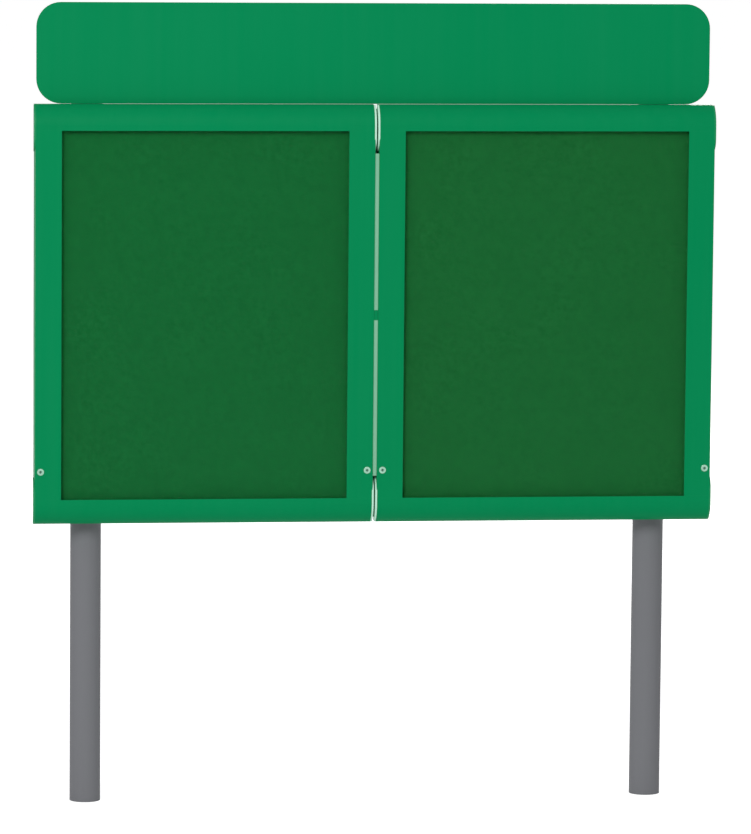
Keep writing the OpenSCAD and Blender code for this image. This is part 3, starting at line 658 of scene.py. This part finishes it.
def clamp_path(low, high, ring):
    """From one ear of a clamp, back round the post, to its other ear."""
    x, z = (low.x + high.x) / 2, (low.z + high.z) / 2
    front, back = low.y + CLAMP_STRIP / 2, high.y - CLAMP_STRIP / 2
    return [((low.x, front, z), 0), ((x - ring, front, z), CLAMP_FOLD),
            ((x - ring, back, z), ring * ROUND_POST), ((x + ring, back, z), ring * ROUND_POST),
            ((x + ring, front, z), CLAMP_FOLD), ((high.x, front, z), 0)]


for node in ("header_rails", "bearers"):
    boxes = solids_of(node)
    low, high = boxes[-1]
    folded(f"{node}_piece", [channel_path(*box) for box in boxes], (1.0, 0.0, 0.0),
           CHANNEL_WALL, high.x - low.x, node)

low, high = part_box("post_left")
ring = (high.x - low.x) / 2 + CLAMP_PLAY + CLAMP_STRIP / 2
boxes = solids_of("post_clamps")
low, high = boxes[-1]
folded("post_clamps_piece", [clamp_path(*box, ring) for box in boxes], (0.0, 0.0, 1.0),
       CLAMP_STRIP, high.z - low.z, "post_clamps")


# Bolts and nuts

THREAD_PITCH = 1.0 * mm
THREAD_CREST = 0.35
THREAD_GROOVE = 0.85
THREAD_ROOT = 0.86
THREAD_END = 0.8


def thread(radius, low, high):
    """The profile of a screw thread from one height to another."""
    profile = [(radius * THREAD_END, low)]
    for i in range(max(1, round((high - low) / THREAD_PITCH))):
        profile += [(radius, low + (i + THREAD_CREST) * THREAD_PITCH),
                    (radius * THREAD_ROOT, low + (i + THREAD_GROOVE) * THREAD_PITCH)]
    return profile + [(radius * THREAD_END, high)]


def washer(outer, inner, thick):
    soft = thick / 4
    return turned([(inner, 0), (outer - soft, 0), (outer, soft), (outer, thick - soft),
                   (outer - soft, thick), (inner, thick)], looped=True)


def middles(node, y):
    """The middle of each solid of a node, at the given depth."""
    return [((low.x + high.x) / 2, y, (low.z + high.z) / 2) for low, high in solids_of(node)]


CLAMP_HEAD = 5.3 * mm
CLAMP_WASHER = 1.2 * mm
CLAMP_WASHER_REACH = 8.2 * mm
CLAMP_SHANK = 4.0 * mm
low, high = solids_of("clamp_bolts")[0]
bolt = together(
    washer(CLAMP_WASHER_REACH, CLAMP_SHANK, CLAMP_WASHER),
    shifted(hexagon(high.x - low.x, CLAMP_HEAD - CLAMP_WASHER), CLAMP_WASHER),
    turned(thread(CLAMP_SHANK, CLAMP_HEAD - (high.y - low.y), 0)))
repeated("clamp_bolt_heads", facing(bolt, (0, 1, 0)),
         middles("clamp_bolts", high.y - CLAMP_HEAD), "clamp_bolts", True)

NUT_BORE = 3.1 * mm
low, high = solids_of("fixing_nuts")[0]
nut = hexagon(high.x - low.x, high.y - low.y, NUT_BORE)
repeated("fixing_nut_rows", facing(nut, (0, 1, 0)), middles("fixing_nuts", low.y),
         "fixing_nuts", True)

BUTTON = 3.5 * mm
BUTTON_RIM = 0.8 * mm
BUTTON_CURVE = ((0.42, 2.2 * mm), (0.28, 3.2 * mm))
BUTTON_SHANK = 3.0 * mm
SOCKET = 2.0 * mm
SOCKET_MOUTH = 0.3 * mm
SOCKET_LIP = 0.2 * mm
SOCKET_FLOOR = 1.4 * mm
low, high = solids_of("case_bolts")[0]
width = high.x - low.x
button = together(
    turned([(width / 2, 0), (width / 2, BUTTON_RIM)]
           + [(width * share, z) for share, z in BUTTON_CURVE]
           + [(SOCKET + SOCKET_MOUTH, BUTTON), (SOCKET, BUTTON - SOCKET_LIP),
              (SOCKET, SOCKET_FLOOR)]),
    turned(thread(BUTTON_SHANK, BUTTON - (high.y - low.y), 0)))
repeated("case_bolt_heads", facing(button, (0, -1, 0)), middles("case_bolts", low.y + BUTTON),
         "case_bolts", True)

JOINT_NUT = 5.0 * mm
JOINT_SHANK = 3.0 * mm
boxes = solids_of("joint_bolts")
low, high = boxes[0]
grip = high.x - low.x - 2 * JOINT_NUT
width = max(high.y - low.y, high.z - low.z)
places = [(0, (low.y + high.y) / 2, (low.z + high.z) / 2) for low, high in boxes]
for name, way in (("joint_nuts", 1), ("joint_heads", -1)):
    half = together(shifted(hexagon(width, JOINT_NUT), grip / 2),
                    turned([(JOINT_SHANK, 0), (JOINT_SHANK, grip / 2)]))
    repeated(name, facing(half, (way, 0, 0)), places, "joint_bolts", True)


# Rivets in the hinge leaves and round the back of the trays

DOME_CURVE = ((1, 0), (0.96, 0.35), (0.7, 0.8), (0.25, 1))
LEAF = 1.2 * mm
LEAF_ROW = 7 * mm
LEAF_RIVETS = 13
LEAF_STAGGER = 0.2
LEAF_RIVET = 2.6 * mm
LEAF_DOME = 0.25 * mm
LIP_RIVETS = 5
LIP_INSET = 26 * mm
LIP_RIVET = 3.2 * mm
LIP_DOME = 1.0 * mm


def dome(radius, height):
    return turned([(radius * across, height * up) for across, up in DOME_CURVE], steps=16)


def row(start, end, count, shift=0.0):
    """Places in a straight row, from half a step inside one end to half a step inside the
    other."""
    start, end = Vector(start), Vector(end)
    return [start.lerp(end, (i + 0.5 + shift) / count) for i in range(count)]


for side in SIDES:
    low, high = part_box(f"door_hinge_{side}")
    door_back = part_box(f"door_stiles_{side}")[1].y + LEAF
    tray_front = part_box(f"case_sides_{side}")[0].y - LEAF
    for name, node, y, way in (("door", f"door_hinge_{side}", door_back, 1),
                               ("tray", "hinge_leaves", tray_front, -1)):
        line = row((low.x, y, low.z + LEAF_ROW), (high.x, y, low.z + LEAF_ROW), LEAF_RIVETS,
                   way * LEAF_STAGGER)
        repeated(f"{name}_hinge_rivets_{side}", facing(dome(LEAF_RIVET, LEAF_DOME), (0, way, 0)),
                 line, node)
    low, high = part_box(f"case_sides_{side}")
    places = [place for x in (low.x + LIP_INSET, high.x - LIP_INSET)
              for place in row((x, high.y, low.z), (x, high.y, high.z), LIP_RIVETS)]
    repeated(f"tray_rivets_{side}", facing(dome(LIP_RIVET, LIP_DOME), (0, 1, 0)), places,
             f"case_back_{side}", finish="fastener_steel")


# Seals between the trays and the doors

SEAL_WIDTH = 4 * mm
SEAL_CORNER = 4 * mm
for side in SIDES:
    node = f"case_seal_{side}"
    low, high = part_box(node)
    seal = SEALING.run(f"seal_{side}", bpy.data.meshes.new(node), Width=high.x - low.x,
                       Height=high.z - low.z, Corner=SEAL_CORNER, Seal_Width=SEAL_WIDTH,
                       Seal_Depth=high.y - low.y, Finish=FINISHES["seal_rubber"])
    seal.data.transform(Matrix.Rotation(-math.pi / 2, 4, "X"))
    seal.data.transform(Matrix.Translation((
        (low.x + high.x) / 2, high.y, (low.z + high.z) / 2)))
    smooth(seal.data)
    finished(seal, node)


# Gas strut bodies: a rolled tube, crimped at both ends, with a plated eye below it

EYE = 6.5 * mm
EYE_BORE = 4.05 * mm
EYE_WIDTH = 6 * mm
NECK = 12 * mm
TUBE = 7.5 * mm
ROD_HOLE = 3.1 * mm
ROD_HOLE_DEPTH = 6 * mm
# Steps from the tube's end inwards, in millimetres: how far its wall draws in, and where
TUBE_END = ((1.6, 0.0), (0.5, 0.5), (0.0, 1.8), (0.0, 8.0), (0.7, 8.9), (0.7, 9.5), (0.0, 10.4))


def strut_tube(length):
    ends = [(TUBE - drawn * mm, z * mm) for drawn, z in TUBE_END]
    upper = [(r, length - z) for r, z in reversed(ends)]
    return turned([(ROD_HOLE, 0.0)] + ends + upper
                  + [(ROD_HOLE, length), (ROD_HOLE, length - ROD_HOLE_DEPTH)], steps=40)


def strut_eye(round_steps=24, side_steps=4):
    """A flat eye across X: round below, square where it meets the tube, with its bore."""
    turns = [math.pi + math.pi * i / round_steps for i in range(round_steps + 1)]
    outline = [(EYE * math.cos(a), EYE * math.sin(a)) for a in turns]
    outline += [(EYE, NECK * (i + 1) / side_steps) for i in range(side_steps)]
    outline += [(EYE - EYE * (i + 1) / side_steps, NECK) for i in range(2 * side_steps)]
    outline += [(-EYE, NECK - NECK * (i + 1) / side_steps) for i in range(side_steps - 1)]
    angles = [math.atan2(z, y) for y, z in outline]
    bore = [(EYE_BORE * math.cos(a), EYE_BORE * math.sin(a)) for a in angles]

    def ring(points, x):
        return [(x, y, z) for y, z in points]

    half = EYE_WIDTH / 2
    return skinned([ring(bore, -half), ring(outline, -half), ring(outline, half),
                    ring(bore, half)], looped=True)


for side in SIDES:
    node = f"strut_cylinders_{side}"
    boxes = solids_of(node)
    low, high = boxes[0]
    tube = shifted(strut_tube(high.z - low.z - EYE - NECK), NECK)
    feet = [((low.x + high.x) / 2, (low.y + high.y) / 2, low.z + EYE) for low, high in boxes]
    repeated(f"strut_tubes_{side}", tube, feet, node, True)
    repeated(f"strut_feet_{side}", strut_eye(), feet, node, True, "zinc_coat")


# Caps on the posts, drawn up to a low dome

CAP_WALL = 2.5 * mm
CAP_RIM = 0.36 * mm
CAP_DOME = 4 * mm
CAP_SHOULDER = 1.5 * mm
SHOULDER_ANGLES = (0, 0.3, 0.6)
CROWN_RINGS = (0.94, 0.8, 0.6, 0.4, 0.2, 0.02)
boxes = solids_of("post_caps")
low, high = boxes[0]
outer = (high.x - low.x) / 2
skirt = high.z - low.z
crown = [(outer * math.cos(a), skirt - CAP_WALL + CAP_SHOULDER * math.sin(a))
         for a in SHOULDER_ANGLES]
crown += [(outer * share, skirt + CAP_DOME * (1 - share ** 2)) for share in CROWN_RINGS]
cap = turned([(outer - CAP_WALL, 0), (outer - CAP_RIM, 0), (outer, CAP_RIM)] + crown, steps=64)
repeated("post_cap_domes", cap,
         [((low.x + high.x) / 2, (low.y + high.y) / 2, low.z) for low, high in boxes],
         "post_caps", True)


# Floor, light and camera

WHITE = (1, 1, 1, 1)
SKY_LEVEL = 0.45
SIGN_MIDDLE = (0, 0, 1.1)
FLOOR_GREY = 0.8
FLOOR_REACH = 140.0

# The camera stands well back, a little left of the middle and above the header, and looks right
# and down
CAMERA_PLACE = (-1.7207, -14.0814, 2.5585)
CAMERA_TURN = 0.12234
CAMERA_TILT = -0.11271
CAMERA_ROLL = 0.00876
CAMERA_LENS = 278.1
CAMERA_SENSOR = 36.0
CAMERA_REACH = 400.0


def looked_at(tree):
    """1 for a ray that sees a surface straight, mirrored or through glass, and 0 for one that
    only brings light."""
    camera, glossy, through = (tree.add("ShaderNodeLightPath", output=f"Is {way} Ray")
                               for way in ("Camera", "Glossy", "Transmission"))
    return tree.maths("MAXIMUM", tree.maths("MAXIMUM", camera, glossy), through)


def bare_floor():
    """A pale floor that reaches past the view. Looked at, it is white, and it keeps the
    shadows."""
    look = Finish("floor")
    pale = look.add("ShaderNodeBsdfDiffuse", sockets={"Color": (FLOOR_GREY,) * 3 + (1.0,)})
    lift = look.add("ShaderNodeEmission", sockets={
        "Color": WHITE, "Strength": (1 - FLOOR_GREY * SKY_LEVEL) * looked_at(look)})
    form = bmesh.new()
    bmesh.ops.create_circle(form, cap_ends=True, radius=FLOOR_REACH, segments=64)
    mesh = made_mesh(form, "floor")
    mesh.materials.append(look.done(look.add("ShaderNodeAddShader", sockets={0: pale, 1: lift})))
    new_piece("floor", mesh)


def white_world():
    """Soft light from all round, which shows as white where it is looked at or mirrored."""
    world = bpy.data.worlds.new("studio")
    bpy.context.scene.world = world
    world.use_nodes = True
    tree = Tree(world.node_tree)
    tree.nodes.clear()
    sky = tree.add("ShaderNodeBackground", sockets={
        "Color": WHITE, "Strength": SKY_LEVEL + (1 - SKY_LEVEL) * looked_at(tree)})
    tree.add("ShaderNodeOutputWorld", sockets={"Surface": sky})


def studio_light(name, place, size, power):
    """A round softbox that is turned to the middle of the sign."""
    lamp = bpy.data.lights.new(name, "AREA")
    lamp.shape = "DISK"
    lamp.size = size
    lamp.energy = power
    stand = bpy.data.objects.new(name, lamp)
    bpy.context.scene.collection.objects.link(stand)
    stand.location = place
    way = Vector(SIGN_MIDDLE) - Vector(place)
    stand.rotation_euler = way.to_track_quat("-Z", "Y").to_euler()


bare_floor()
white_world()
studio_light("key", place=(-4.2, -10.0, 6.4), size=5.0, power=720.0)
studio_light("rear_fill", place=(3.0, 8.0, 5.0), size=4.0, power=357.0)

lens = bpy.data.cameras.new("camera")
lens.sensor_fit = "HORIZONTAL"
lens.sensor_width = CAMERA_SENSOR
lens.lens = CAMERA_LENS
lens.clip_end = CAMERA_REACH
camera = bpy.data.objects.new("camera", lens)
bpy.context.scene.collection.objects.link(camera)
camera.matrix_world = (
    Matrix.Translation(CAMERA_PLACE)
    @ Matrix.Rotation(-CAMERA_TURN, 4, "Z")
    @ Matrix.Rotation(math.pi / 2 + CAMERA_TILT, 4, "X")
    @ Matrix.Rotation(CAMERA_ROLL, 4, "Z"))
bpy.context.scene.camera = camera
bpy.context.scene.view_settings.view_transform = "Standard"
